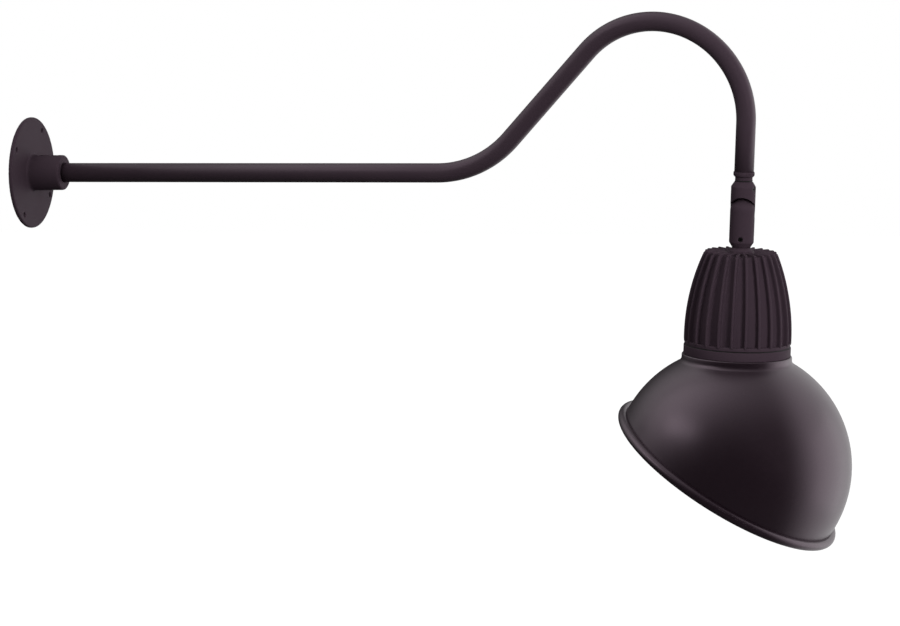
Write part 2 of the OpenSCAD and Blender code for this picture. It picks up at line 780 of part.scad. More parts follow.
module lens() {
    color([0.85, 0.9, 0.92, 0.5]) at_pivot() translate([0, 0, z_lip]) cylinder(d = lens_d, h = lens_t);
}

module lens_ring() {
    skirt_top = z_shade - shade_t - shade_nut_h - 1;
    ring_od = neck_d - 2 * shade_t - 4;
    color(bronze) at_pivot() difference() {
        translate([0, 0, z_lip - lens_lip_t]) cylinder(d = ring_od, h = skirt_top - z_lip + lens_lip_t);
        translate([0, 0, z_lip]) cylinder(d = spigot_d + 2 * thread_fit, h = skirt_top - z_lip + 1);
        translate([0, 0, z_lip - lens_lip_t - 1]) cylinder(d = collar_bore_d - 4, h = lens_lip_t + 2);
        around(6, ring_od / 2 + lens_notch_d / 4) translate([0, 0, z_lip - lens_lip_t - 1])
            cylinder(d = lens_notch_d, h = lens_lip_t + 2);
    }
}

wall_plate();
wall_gasket();
hub_set_screws();
gooseneck_tube();
arm_stem();
stem_seal_ring();
swivel_upper();
upper_lock_screw();
swivel_lower();
lower_lock_screw();
pivot_screw();
pivot_spring_washer();
pivot_friction_washer();
head_stem();
heat_sink();
driver();
driver_screws();
led_carrier();
carrier_screws();
thermal_pad();
led_board();
board_screws();
led_chip();
collar_gasket();
shade_collar();
collar_screws();
shade();
shade_nut();
reflector();
lens_gasket();
lens();
lens_ring();
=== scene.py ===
# %% [markdown]
# # A gooseneck wall light, piece by piece
#
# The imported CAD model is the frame: it says where every piece is and what it rides on. This lesson
# dresses that frame. It sets the camera and the studio first, then mixes the finishes, and then makes
# the visible pieces: the bent pipe, the finned heat sink, the shade, the turned parts, and the
# castings of the knuckle and the wall plate. Every other piece is its CAD node with a finish on it.

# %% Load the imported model
import json
import math

import bmesh
import bpy
from mathutils import Matrix, Vector


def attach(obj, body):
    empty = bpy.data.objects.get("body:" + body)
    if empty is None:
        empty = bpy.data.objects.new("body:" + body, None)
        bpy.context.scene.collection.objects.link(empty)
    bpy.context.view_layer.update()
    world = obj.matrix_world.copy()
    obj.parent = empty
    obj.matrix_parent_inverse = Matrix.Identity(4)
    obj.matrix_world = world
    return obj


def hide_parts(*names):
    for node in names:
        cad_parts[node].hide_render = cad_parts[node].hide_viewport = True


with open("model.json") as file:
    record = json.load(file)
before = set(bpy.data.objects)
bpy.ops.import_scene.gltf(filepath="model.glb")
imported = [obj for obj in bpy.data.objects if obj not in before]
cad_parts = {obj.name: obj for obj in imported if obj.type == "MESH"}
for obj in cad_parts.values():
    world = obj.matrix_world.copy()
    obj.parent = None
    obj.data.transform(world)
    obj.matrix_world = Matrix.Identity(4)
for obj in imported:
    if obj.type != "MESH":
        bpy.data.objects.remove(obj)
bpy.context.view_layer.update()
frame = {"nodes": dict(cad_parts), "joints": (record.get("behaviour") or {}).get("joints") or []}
nodes = frame["nodes"]
joints = {joint["name"]: joint for joint in frame["joints"]}
MM = 0.001
print("pieces in the frame:", len(nodes), "joints:", sorted(joints))

# %% [markdown]
# The head hangs from a pivot under the end of the arm, and all the round pieces down there share one
# leaning axis. They are drawn in millimetres in a frame of their own, `HEAD`, whose z runs up that
# axis from the pivot. The pipe is drawn in `WALL`, whose x runs out from the wall. Each mesh is then
# carried to its place, so that every object stays at the origin, from which its paint is laid out.

# %% Two placements
pivot = Vector(joints["swivel_turn"]["pos_m"])
head_up = Vector(joints["swivel_turn"]["axis"]).normalized()
side = Vector((0, 1, 0))
head_turned = Matrix((side.cross(head_up), side, head_up)).transposed().to_4x4()
WALL = Matrix.Scale(MM, 4)
HEAD = Matrix.Translation(pivot) @ head_turned @ Matrix.Scale(MM, 4)
print("pivot at", tuple(round(v, 4) for v in pivot))

# %% [markdown]
# The photograph was taken from far away with a long lens, a little above the lamp and 19 degrees
# to its right, and it is rolled by two degrees. A long lens keeps the pipe parallel, so the camera
# stands 6.8 m off and not close by. `way` turns two angles into a direction, here for the camera and
# later for the lights.

# %% Camera
AZIMUTH, ELEVATION, ROLL = 19.4, 7.0, 1.9475
CAMERA_DISTANCE = 6.8
PIXELS_PER_METRE = 910.5
IMAGE_WIDTH = 900
SENSOR = 36.0
CLIP_END = 60
LOOK_AT = Vector((0.493109, 0, -0.154673))


def way(azimuth, elevation):
    """A direction as a tuple. Azimuth 0 is the lamp's front side and 90 is away from the wall."""
    az, el = math.radians(azimuth), math.radians(elevation)
    return (math.sin(az) * math.cos(el), -math.cos(az) * math.cos(el), math.sin(el))


camera_turn, roll = math.radians(AZIMUTH), math.radians(ROLL)
back = Vector(way(AZIMUTH, ELEVATION))
right = Vector((math.cos(camera_turn), math.sin(camera_turn), 0))
up = back.cross(right)
camera_x = right * math.cos(roll) - up * math.sin(roll)
camera_y = right * math.sin(roll) + up * math.cos(roll)
camera_data = bpy.data.cameras.new("camera")
camera_data.sensor_width = SENSOR
camera_data.lens = PIXELS_PER_METRE * CAMERA_DISTANCE / IMAGE_WIDTH * SENSOR
camera_data.clip_end = CLIP_END
camera = bpy.data.objects.new("camera", camera_data)
camera.matrix_world = Matrix.Translation(LOOK_AT + back * CAMERA_DISTANCE) @ Matrix(
    (camera_x, camera_y, back)).transposed().to_4x4()
bpy.context.scene.collection.objects.link(camera)
bpy.context.scene.camera = camera
print("lens:", round(camera_data.lens, 1), "mm")

# %% [markdown]
# Shader maths reads best as plain expressions. `Value` wraps a socket, so `grain * 0.3 + 0.5` adds
# the Math nodes by itself, and `Finish` holds one material with a single method for every other
# kind of node: its type, its settings, and the values or links of its sockets.


# %% Shader expressions
class Value:
    """A number that flows through a node tree."""

    def __init__(self, finish, socket):
        self.finish, self.socket = finish, socket

    def _math(self, operation, first, second):
        node = self.finish.node("ShaderNodeMath", {"operation": operation}, {0: first, 1: second})
        return Value(self.finish, node.outputs[0])

    def __add__(self, other):
        return self._math("ADD", self, other)

    def __sub__(self, other):
        return self._math("SUBTRACT", self, other)

    def __rsub__(self, other):
        return self._math("SUBTRACT", other, self)

    def __mul__(self, other):
        return self._math("MULTIPLY", self, other)

    def __truediv__(self, other):
        return self._math("DIVIDE", self, other)

    def __pow__(self, other):
        return self._math("POWER", self, other)

    def above(self, level):
        """1 where the value is above a level, and 0 elsewhere."""
        return self._math("GREATER_THAN", self, level)

    __radd__, __rmul__ = __add__, __mul__


class Recipe:
    """Any node tree, built node by node."""

    def __init__(self, tree):
        self.tree = tree
        self.tree.nodes.clear()

    def node(self, kind, settings=None, sockets=None):
        """Adds a node of a type, with its settings and the values or links of its sockets."""
        made = self.tree.nodes.new(kind)
        for name, value in (settings or {}).items():
            setattr(made, name, value)
        for key, value in (sockets or {}).items():
            source = value.socket if isinstance(value, Value) else value
            if isinstance(source, bpy.types.NodeSocket):
                self.tree.links.new(source, made.inputs[key])
            else:
                made.inputs[key].default_value = source
        return made


NOISE_MIDDLE, NOISE_ROUGHNESS = 0.5, 0.55


class Finish(Recipe):
    """One material."""

    def __init__(self, name):
        self.material = bpy.data.materials.new(name)
        self.material.use_nodes = True
        super().__init__(self.material.node_tree)

    def place(self):
        """The place on the object, in metres, which stays the same in every view and pose."""
        return self.node("ShaderNodeTexCoord").outputs["Object"]

    def noise(self, scale, detail=2.0):
        """Soft noise about NOISE_MIDDLE, with so many waves to the metre."""
        made = self.node("ShaderNodeTexNoise", None, {
            "Vector": self.place(), "Scale": scale, "Detail": detail, "Roughness": NOISE_ROUGHNESS})
        return Value(self, made.outputs["Fac"])

    def mix(self, factor, first, second):
        """A colour between two others."""
        made = self.node("ShaderNodeMix", {"data_type": "RGBA"}, {0: factor, 6: first, 7: second})
        return made.outputs[2]

    def bump(self, height, depth):
        """A normal that shows bumps of a depth in metres."""
        made = self.node("ShaderNodeBump", None, {"Height": height, "Distance": depth})
        return made.outputs["Normal"]

    def surface(self, **sockets):
        """Ends the material. Base_Color stands for the socket Base Color, and so on."""
        names = {name.replace("_", " "): value for name, value in sockets.items()}
        shader = self.node("ShaderNodeBsdfPrincipled", None, names)
        self.node("ShaderNodeOutputMaterial", None, {"Surface": shader.outputs[0]})
        return self.material


print("shader helpers ready")

# %% [markdown]
# The studio is plain: a pale floor far below the lamp, a white backdrop, white paper and soft boxes.
# What a surface meets there depends on the kind of ray. The camera, and what looks through glass,
# sees white all round. Gloss sees white in two places only: the backdrop behind on the right draws
# the bright band down the shade, and the paper on the upper left its soft highlight. Everywhere else
# gloss meets the dim side of the studio, so that a dark coat stays dark.

# %% What each kind of ray sees
BACKDROP_WAY, BACKDROP_RISE, BACKDROP_EDGE = way(140, 0), 3.3, 1.5


def grey(level):
    """A plain grey as a colour."""
    return (level, level, level, 1)


def rays(finish, *kinds):
    """1 for rays of any of these kinds, such as Camera or Transmission, and 0 for all others."""
    path = finish.node("ShaderNodeLightPath")
    others = 1
    for kind in kinds:
        others = (1 - Value(finish, path.outputs["Is " + kind + " Ray"])) * others
    return 1 - others


def toward(finish, looking, fixed):
    """How far a direction leans to a fixed one, from 0 at a right angle to 1."""
    made = finish.node("ShaderNodeVectorMath", {"operation": "DOT_PRODUCT"}, {0: looking, 1: fixed})
    lean = Value(finish, made.outputs["Value"])
    return lean * lean.above(0)


def backdrop(finish, looking):
    """The white backdrop as gloss sees it: 1 behind on the right, and soft at its edges."""
    rise = toward(finish, looking, BACKDROP_WAY) * BACKDROP_RISE - BACKDROP_EDGE
    rise = rise * rise.above(0)
    return 1 - (1 - rise) * (1 - rise).above(0)


print("backdrop toward", tuple(round(v, 2) for v in BACKDROP_WAY))

# %% [markdown]
# The floor lies so far down that it only closes the view. To the camera it is lifted to white by a
# glow of its own and not by more light, so that the lamp is lit alike whatever the floor looks like.
# Gloss sees the backdrop go on across it, and to all other light it is a dull grey.

# %% Floor
FLOOR_Z, FLOOR_HALF = -1.7, 14.0
FLOOR_PAINT, FLOOR_DUSTY, FLOOR_DULL = grey(0.50), grey(0.47), grey(0.10)
DUST_SCALE, DUST_SHARE, FLOOR_GLOW = 3.0, 0.02, 0.86


def floor_finish():
    """A pale floor: white to the camera and through glass, white to gloss on the backdrop's side."""
    finish = Finish("floor white")
    paint = finish.mix(finish.noise(DUST_SCALE) * DUST_SHARE, FLOOR_PAINT, FLOOR_DUSTY)
    diffuse = finish.node("ShaderNodeBsdfDiffuse", None, {"Color": paint})
    glow = finish.node("ShaderNodeEmission", None, {"Color": grey(1), "Strength": FLOOR_GLOW})
    seen = finish.node("ShaderNodeAddShader", None, {0: diffuse.outputs[0], 1: glow.outputs[0]})
    away = finish.node("ShaderNodeVectorMath", {"operation": "NORMALIZE"}, {0: finish.place()})
    in_gloss = rays(finish, "Glossy") * backdrop(finish, away.outputs["Vector"])
    dull = finish.node("ShaderNodeBsdfDiffuse", None, {"Color": FLOOR_DULL})
    mirrored = finish.node("ShaderNodeEmission", None, {"Color": grey(1), "Strength": in_gloss})
    unseen = finish.node("ShaderNodeAddShader", None, {0: dull.outputs[0], 1: mirrored.outputs[0]})
    shader = finish.node("ShaderNodeMixShader", None, {
        0: rays(finish, "Camera", "Transmission"), 1: unseen.outputs[0], 2: seen.outputs[0]})
    finish.node("ShaderNodeOutputMaterial", None, {"Surface": shader.outputs[0]})
    return finish.material


floor_mesh = bpy.data.meshes.new("floor")
floor_corners = [(-FLOOR_HALF, -FLOOR_HALF), (FLOOR_HALF, -FLOOR_HALF), (FLOOR_HALF, FLOOR_HALF),
                 (-FLOOR_HALF, FLOOR_HALF)]
floor_mesh.from_pydata([(x, y, FLOOR_Z) for x, y in floor_corners], [], [(0, 1, 2, 3)])
floor = bpy.data.objects.new("floor", floor_mesh)
floor.data.materials.append(floor_finish())
bpy.context.scene.collection.objects.link(floor)
print("floor at", FLOOR_Z, "m")

# %% [markdown]
# The world is the rest of the studio. As light it is weak: a little from above, from the backdrop and
# from the front, so that the sides turned away from the boxes keep some light. Its shares are added
# up as expressions, and a power narrows a light around its direction. The view transform stays plain,
# so a colour renders about as it is written.

# %% World
DIM_SIDE, OVERHEAD, OVERHEAD_POWER = 0.02, 0.5, 4
BACKDROP_LIGHT, BACKDROP_POWER = 0.2, 2
FRONT_WAY, FRONT_FILL, ALL_ROUND = way(12, 14), 0.4, 0.06
PAPER_WAY, PAPER_WHITE, PAPER_POWER = way(-90, 46), 1.2, 5

world = bpy.data.worlds.new("studio")
world.use_nodes = True
sky = Recipe(world.node_tree)
looking = sky.node("ShaderNodeTexCoord").outputs["Generated"]
dim_side = DIM_SIDE + toward(sky, looking, (0, 0, 1)) ** OVERHEAD_POWER * OVERHEAD
backdrop_light = toward(sky, looking, BACKDROP_WAY) ** BACKDROP_POWER * BACKDROP_LIGHT
front_light = toward(sky, looking, FRONT_WAY) * FRONT_FILL + ALL_ROUND
paper = toward(sky, looking, PAPER_WAY) ** PAPER_POWER * PAPER_WHITE
shown = rays(sky, "Camera", "Transmission")
gloss = rays(sky, "Glossy")
strength = shown + (1 - shown) * (dim_side + gloss * (backdrop(sky, looking) + paper) +
                                  (1 - gloss) * (backdrop_light + front_light))
light = sky.node("ShaderNodeBackground", None, {"Color": grey(1), "Strength": strength})
sky.node("ShaderNodeOutputWorld", None, {"Surface": light.outputs[0]})
bpy.context.scene.world = world
bpy.context.scene.view_settings.view_transform = "Standard"
print("nodes in the world:", len(world.node_tree.nodes))

# %% [markdown]
# Three soft boxes face the lamp's middle. The one behind on the right edges everything on that side.
# The one at the front right lights the coats and isn't mirrored in them, because so small a box would
# stand in the shade as a hard spot. The one at the front left, high up, draws the highlight along
# the pipe.

# %% Soft boxes
LAMP_MIDDLE = Vector((0.62, 0, -0.08))


def soft_box(name, azimuth, elevation, distance, width, height, power, mirrored=True):
    """An area light that faces the lamp from an azimuth and an elevation, in degrees."""
    away = Vector(way(azimuth, elevation))
    data = bpy.data.lights.new(name, "AREA")
    data.shape, data.size, data.size_y, data.energy = "RECTANGLE", width, height, power
    box = bpy.data.objects.new(name, data)
    box.location = LAMP_MIDDLE + away * distance
    box.visible_glossy = mirrored
    box.rotation_mode = "QUATERNION"
    box.rotation_quaternion = away.to_track_quat("Z", "Y")
    bpy.context.scene.collection.objects.link(box)


soft_box("box behind on the right", azimuth=126, elevation=-8, distance=2.8, width=2.4, height=2.3,
         power=10)
soft_box("box at the front right", azimuth=56, elevation=10, distance=2.6, width=0.7, height=1.4,
         power=28, mirrored=False)
soft_box("box at the front left", azimuth=-44, elevation=36, distance=3.2, width=2.0, height=0.8,
         power=7.5)

# %% [markdown]
# Powder coat is a skin of melted resin. From close by it has an orange peel a millimetre or two
# across, small darker specks and slow changes of gloss. One recipe coats the castings, the pipe and
# the spun shade, and takes the grain and depth of the peel in metres. The castings are matt, the pipe
# has some sheen, and the shade is satin over a darker colour. All gloss is tinted as the bronze is.

# %% Coats of paint
BRONZE = (0.060, 0.0400, 0.0545, 1)
BRONZE_WARM = (0.068, 0.0455, 0.0600, 1)
BRONZE_SPECK = (0.055, 0.036, 0.049, 1)
GLOSS_TINT = (1.0, 0.78, 0.93, 1)
SATIN = (0.0075, 0.0030, 0.0058, 1)
SATIN_WARM = (0.0092, 0.0040, 0.0070, 1)
CLOUD_SCALE = 38.0
SPECKS_TO_GRAIN, SPECK_CONTRAST, SPECK_SHARE, SPECK_HEIGHT = 2.4, 0.5, 0.1, 0.35


def powder_coat(name, grain, depth, roughness, gloss_swing, shine, dark=BRONZE, light=BRONZE_WARM):
    """Bronze powder coat: grain in metres, depth of its peel in metres."""
    finish = Finish(name)
    peel = finish.noise(1 / grain, detail=3.0)
    cloud = finish.noise(CLOUD_SCALE)
    speck = finish.noise(SPECKS_TO_GRAIN / grain, detail=1.0)
    specks = (speck - NOISE_MIDDLE) * SPECK_CONTRAST + SPECK_SHARE
    colour = finish.mix(specks, finish.mix(cloud, dark, light), BRONZE_SPECK)
    gloss = (cloud - NOISE_MIDDLE) * gloss_swing + (peel - NOISE_MIDDLE) * gloss_swing + roughness
    normal = finish.bump(peel + speck * SPECK_HEIGHT, depth)
    return finish.surface(Base_Color=colour, Roughness=gloss, Normal=normal, Metallic=0.0,
                          Specular_IOR_Level=shine, Specular_Tint=GLOSS_TINT)


cast_coat = powder_coat("bronze coat on castings", grain=0.0011, depth=0.00010, roughness=0.58,
                        gloss_swing=0.08, shine=0.08)
pipe_coat = powder_coat("bronze coat on pipe", grain=0.0014, depth=0.00003, roughness=0.42,
                        gloss_swing=0.06, shine=0.45)
shade_coat = powder_coat("satin bronze coat on the shade", grain=0.0018, depth=0.00002,
                         roughness=0.34, gloss_swing=0.04, shine=1.0, dark=SATIN, light=SATIN_WARM)
print("coats:", cast_coat.name, "|", pipe_coat.name, "|", shade_coat.name)

# %% [markdown]
# The small finishes share one shorter recipe: a colour that varies a little, a grain, and a gloss.
# Metals are set by their Metallic value and glass by its Transmission. The light source shows the
# yellow of its phosphor when it is off, so it is coloured and not lit.

# %% Small finishes
FINE_GRAIN, SMALL_CLOUD_SCALE, CLOUD_SHARE = 0.0012, 60.0, 0.7


def plain_finish(name, colour, roughness, metallic=0.0, depth=0.00002, swing=0.12, **more):
    """A quiet finish for small pieces: colour and gloss vary slowly, with a fine grain."""
    finish = Finish(name)
    fine = finish.noise(1 / FINE_GRAIN, detail=3.0)
    cloud = finish.noise(SMALL_CLOUD_SCALE)
    darker = tuple(c * (1 - swing) for c in colour) + (1,)
    base = finish.mix(cloud * CLOUD_SHARE + fine * (1 - CLOUD_SHARE), tuple(colour) + (1,), darker)
    rough = (fine - NOISE_MIDDLE) * swing + roughness
    return finish.surface(Base_Color=base, Roughness=rough, Metallic=metallic,
                          Normal=finish.bump(fine, depth), **more)


black_oxide = plain_finish("black oxide steel", (0.022, 0.020, 0.021), 0.38, metallic=0.6)
black_rubber = plain_finish("black rubber", (0.014, 0.013, 0.013), 0.75)
bright_steel = plain_finish("plain steel", (0.52, 0.52, 0.51), 0.30, metallic=1.0)
ivory_washer = plain_finish("ivory plastic", (0.72, 0.68, 0.58), 0.45)
driver_case = plain_finish("off-white plastic", (0.66, 0.66, 0.63), 0.42)
turned_aluminium = plain_finish("turned aluminium", (0.62, 0.62, 0.62), 0.28, metallic=1.0)
thermal_grey = plain_finish("grey silicone", (0.22, 0.24, 0.27), 0.7)
board_white = plain_finish("white solder mask", (0.80, 0.80, 0.77), 0.30)
phosphor = plain_finish("yellow phosphor", (0.80, 0.56, 0.07), 0.22)
reflector_skin = plain_finish("bright reflector", (0.86, 0.87, 0.88), 0.10, metallic=1.0, swing=0.03)
white_coat = plain_finish("white coat inside the shade", (0.78, 0.78, 0.76), 0.38, swing=0.03)
clear_glass = plain_finish("clear glass", (0.93, 0.96, 0.95), 0.03, swing=0.01, depth=0.0,
                           Transmission_Weight=1.0, IOR=1.5)
print("materials:", len(bpy.data.materials))

# %% [markdown]
# Most pieces are turned or cast, and what separates them from a plain model is that hardly a corner
# is sharp. `rounded` puts an arc at each corner of an outline that has a radius, `lathe` spins such
# an outline, and `piece` carries a finished shape to its place, lets it ride on its body and hides
# the node it replaces. From here on, sizes are in millimetres.

# %% Outlines, lathes and pieces
ROUND_STEPS, LATHE_SEGMENTS, TINY, CREASE = 4, 96, 1e-6, 32
QUARTER_TURN = [math.radians(v) for v in (30, 60, 90)]


def rounded(corners):
    """Corners (x, z, radius) of an open outline as points, with an arc at each inner corner."""
    points = [Vector(corners[0][:2])]
    for i in range(1, len(corners) - 1):
        corner, radius = Vector(corners[i][:2]), corners[i][2]
        before = (Vector(corners[i - 1][:2]) - corner).normalized()
        after = (Vector(corners[i + 1][:2]) - corner).normalized()
        if radius == 0:
            points.append(corner)
            continue
        half = before.angle(after) / 2
        centre = corner + (before + after).normalized() * (radius / math.sin(half))
        start = corner + before * (radius / math.tan(half)) - centre
        end = corner + after * (radius / math.tan(half)) - centre
        # slerp hands back a direction of length 1, so the radius is put on again.
        points += [centre + start.slerp(end, step / ROUND_STEPS) * radius
                   for step in range(ROUND_STEPS + 1)]
    points.append(Vector(corners[-1][:2]))
    return points


def skin(shape, rings, closed=False):
    """Joins rings of points by faces. A ring of one point is a pole."""
    rows = [[shape.verts.new(point) for point in ring] for ring in rings]
    pairs = list(zip(rows, rows[1:] + rows[:1])) if closed else list(zip(rows, rows[1:]))
    faces = []
    for lower, upper in pairs:
        count = max(len(lower), len(upper))
        for i in range(count):
            j = (i + 1) % count
            corners = [lower[i % len(lower)], lower[j % len(lower)],
                       upper[j % len(upper)], upper[i % len(upper)]]
            faces.append(shape.faces.new(list(dict.fromkeys(corners))))
    return faces


def lathe(outline, segments=LATHE_SEGMENTS):
    """A shape spun about z from an outline of (radius, height), closed where it ends at its start."""
    shape = bmesh.new()
    turns = [math.tau * i / segments for i in range(segments)]
    skin(shape, [[(radius * math.cos(t), radius * math.sin(t), height) for t in turns]
                 for radius, height in outline])
    bmesh.ops.remove_doubles(shape, verts=shape.verts, dist=TINY)
    return shape


def as_mesh(name, shape):
    """A shape as a mesh of this name. The shape is used up."""
    mesh = bpy.data.meshes.new(name)
    shape.to_mesh(mesh)
    shape.free()
    return mesh


def in_scene(name, data):
    """A new object of the scene, with this mesh or curve as its data."""
    made = bpy.data.objects.new(name, data)
    bpy.context.scene.collection.objects.link(made)
    return made


def piece(name, shape, place, finish, body, node, crease=CREASE):
    """Carries a shape to its place as one smooth piece that rides on a body and replaces a node."""
    bmesh.ops.transform(shape, matrix=place, verts=shape.verts)
    bmesh.ops.recalc_face_normals(shape, faces=shape.faces)
    mesh = as_mesh(name, shape)
    mesh.shade_smooth()
    mesh.set_sharp_from_angle(angle=math.radians(crease))
    mesh.materials.append(finish)
    made = in_scene(name, mesh)
    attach(made, body)
    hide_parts(node)
    return made


print("mesh helpers ready")

# %% [markdown]
# Geometry Nodes make what follows a path and what repeats about an axis. `GeometryRecipe` is a tree
# with named sizes, and `grown` runs one on a carrier, which is a curve or a small mesh. What comes
# out is taken as a plain shape, because the exported model knows no trees and no copies.


# %% Geometry Nodes helpers
class GeometryRecipe(Recipe):
    """A Geometry Nodes tree with named sizes."""

    def __init__(self, name, **sizes):
        super().__init__(bpy.data.node_groups.new(name, "GeometryNodeTree"))
        face = self.tree.interface
        face.new_socket("Geometry", in_out="INPUT", socket_type="NodeSocketGeometry")
        face.new_socket("Geometry", in_out="OUTPUT", socket_type="NodeSocketGeometry")
        for size, kind in sizes.items():
            face.new_socket(size, in_out="INPUT", socket_type=kind)
        face.new_socket("Coat", in_out="INPUT", socket_type="NodeSocketMaterial")
        self.given = self.node("NodeGroupInput").outputs

    def finish(self, geometry):
        """Ends the tree: real geometry, smooth, with its coat on."""
        real = self.node("GeometryNodeRealizeInstances", None, {"Geometry": geometry})
        smooth = self.node("GeometryNodeSetShadeSmooth", None, {"Geometry": real.outputs[0]})
        coated = self.node("GeometryNodeSetMaterial", None, {
            "Geometry": smooth.outputs[0], "Material": self.given["Coat"]})
        self.node("NodeGroupOutput", None, {"Geometry": coated.outputs[0]})


def finished(carrier):
    """What a carrier's modifiers make of it, as a shape. The carrier is used up."""
    seen = carrier.evaluated_get(bpy.context.evaluated_depsgraph_get())
    mesh = bpy.data.meshes.new_from_object(seen)
    bpy.data.objects.remove(carrier)
    shape = bmesh.new()
    shape.from_mesh(mesh)
    bpy.data.meshes.remove(mesh)
    return shape


def grown(carrier, recipe, **sizes):
    """What a recipe makes of a carrier at these sizes, as a shape."""
    modifier = carrier.modifiers.new("recipe", "NODES")
    modifier.node_group = recipe.tree
    for item in recipe.tree.interface.items_tree:
        if item.name in sizes:
            modifier[item.identifier] = sizes[item.name]
    return finished(carrier)


print("geometry helpers ready")

# %% [markdown]
# The arm is half-inch steel pipe, bent twice: an easy bend starts the rise, and a wide arch brings
# the end down again, four degrees past plumb. Its centre line is walked as a pipe bender would, with
# straight lengths and turns, and one recipe sweeps a circle along it. A wall is then added inward.

# %% The bent pipe
PIPE_OD, PIPE_WALL = 21.3, 2.8
PIPE_START, RISE_START = 10.5, 484
RISE_BEND_R, RISE_ANGLE, RISE_L = 118, 46.5, 132
ARCH_R, DROP_LEAN, DROP_L = 103, 4, 52.8
BEND_STEP, PIPE_SEGMENTS = 1.5, 56


def pipe_line():
    """The pipe's centre line, in millimetres."""
    place, heading = Vector((PIPE_START, 0, 0)), 0.0
    points = [place.copy()]
    arch = -(RISE_ANGLE + 90 + DROP_LEAN)
    for length, radius, angle in ((RISE_START - PIPE_START, 0, 0), (0, RISE_BEND_R, RISE_ANGLE),
                                  (RISE_L, 0, 0), (0, ARCH_R, arch), (DROP_L, 0, 0)):
        steps = max(1, round(abs(angle) / BEND_STEP))
        half_turn = math.radians(angle / steps / 2)
        stride = length or 2 * radius * math.sin(abs(half_turn))
        for _ in range(steps):
            heading += half_turn
            place = place + Vector((math.cos(heading), 0, math.sin(heading))) * stride
            heading += half_turn
            points.append(place.copy())
    return points


sweep = GeometryRecipe("pipe along a line", Radius="NodeSocketFloat")
section = sweep.node("GeometryNodeCurvePrimitiveCircle", None, {
    "Resolution": PIPE_SEGMENTS, "Radius": sweep.given["Radius"]})
swept = sweep.node("GeometryNodeCurveToMesh", None, {
    "Curve": sweep.given["Geometry"], "Profile Curve": section.outputs["Curve"]})
sweep.finish(swept.outputs["Mesh"])

line = pipe_line()
line_data = bpy.data.curves.new("pipe line", "CURVE")
line_data.dimensions = "3D"
spline = line_data.splines.new("POLY")
spline.points.add(len(line) - 1)
for point, spot in zip(spline.points, line):
    point.co = (*spot, 1)
pipe_shape = grown(in_scene("pipe line", line_data), sweep, Radius=PIPE_OD / 2, Coat=pipe_coat)
pipe = piece("gooseneck_pipe", pipe_shape, WALL, pipe_coat, "arm", "gooseneck_tube")
wall = pipe.modifiers.new("wall", "SOLIDIFY")
wall.thickness, wall.offset = PIPE_WALL * MM, -1
print("pipe end at", [round(v, 1) for v in line[-1]], "mm")

# %% [markdown]
# The heat sink is one casting: 24 thin fins on a tapered core, with a flange below and a shallow
# crown on top. Core and fins follow two outlines side by side, from the foot up the flank, round the
# bevel and in to the boss, where the fins dip. The taper is the arc of one large circle.

# %% Outlines of the heat sink
UPPER_L, LOWER_L, END_GAP = 31.5, 39.7, 0.3
SINK_R, SINK_H, SINK_ARC_R = 58.5, 102, 229
FIN_COUNT, FIN_T, FIN_H, FIN_TURN = 24, 3.0, 6.0, 2.5
FIN_TIP_R, FIN_ROOT_R, FIN_BEVEL, FIN_FOOT_H = 1.1, 1.4, 1.4, 5.5
CONE_H, CONE_R, STEM_R = 4, 13.5, 9.4
CROWN_H, FLANGE_T, FIN_OVERHANG, FLANGE_LAP = 3.0, 4.0, 1.2, 1.2
FLANK_STEPS, FOOT_ROUND, FOOT_LIFT = 24, 0.4, 0.1
BOSS_GAP, BOSS_DIP_L, TOP_LEAN = 0.5, 4, 1.5

z_sink = -LOWER_L - END_GAP - CONE_H
z_base = z_sink - SINK_H
foot_z = z_base + FLANGE_T + FIN_FOOT_H


def fin_reach(z):
    """How far a fin reaches from the axis at a level."""
    return SINK_R - SINK_ARC_R + math.sqrt(SINK_ARC_R ** 2 - max(0, z - foot_z) ** 2)


def sink_outlines():
    """Pairs of points (core, fin edge), each (radius, height), from the foot to the boss."""
    flange_top, flank_top = z_base + FLANGE_T, z_sink - CROWN_H
    flank = [foot_z + (flank_top - foot_z) * i / FLANK_STEPS for i in range(FLANK_STEPS + 1)]
    fin_foot = flange_top - FLANGE_LAP
    start = (SINK_R - 2 * FIN_H, fin_foot)
    pairs = [(start, start), ((SINK_R - FIN_H, flange_top), (SINK_R - FOOT_ROUND, fin_foot))]
    for z in [flange_top + FOOT_LIFT] + flank:
        pairs.append(((fin_reach(z) - FIN_H, z), (fin_reach(z), z)))
    core = (fin_reach(flank_top) - FIN_H, flank_top)
    top = fin_reach(z_sink)
    for share in (0.5, 1.0):
        pairs.append((core, (top, flank_top + (CROWN_H - FIN_BEVEL) * share)))
    for angle in (22, 45, 68, 90):
        lean = math.radians(angle)
        bevel = (top - FIN_BEVEL * (1 - math.cos(lean)), z_sink - FIN_BEVEL * (1 - math.sin(lean)))
        pairs.append((core, bevel))
    inner = CONE_R - BOSS_GAP
    for share in (0.1, 0.4, 0.7, 1.0):
        reach = core[0] + (inner - core[0]) * share
        dip = CROWN_H / 2 * max(0, 1 - (reach - inner) / BOSS_DIP_L)
        pairs.append(((reach, flank_top), (reach + (1 - share) * TOP_LEAN, z_sink - dip)))
    return pairs


print("levels of the heat sink:", len(sink_outlines()))

# %% [markdown]
# A fin of a casting is never a plain plate: it grows from the core with a fillet and ends in a round
# tip. So one 15 degree slice is drawn level by level, from the middle of a groove over the fin to the
# middle of the next groove, and the levels are joined.

# %% One slice of the heat sink
LEAST_ROOT_R, GROOVE_SHARE = 0.02, 0.7


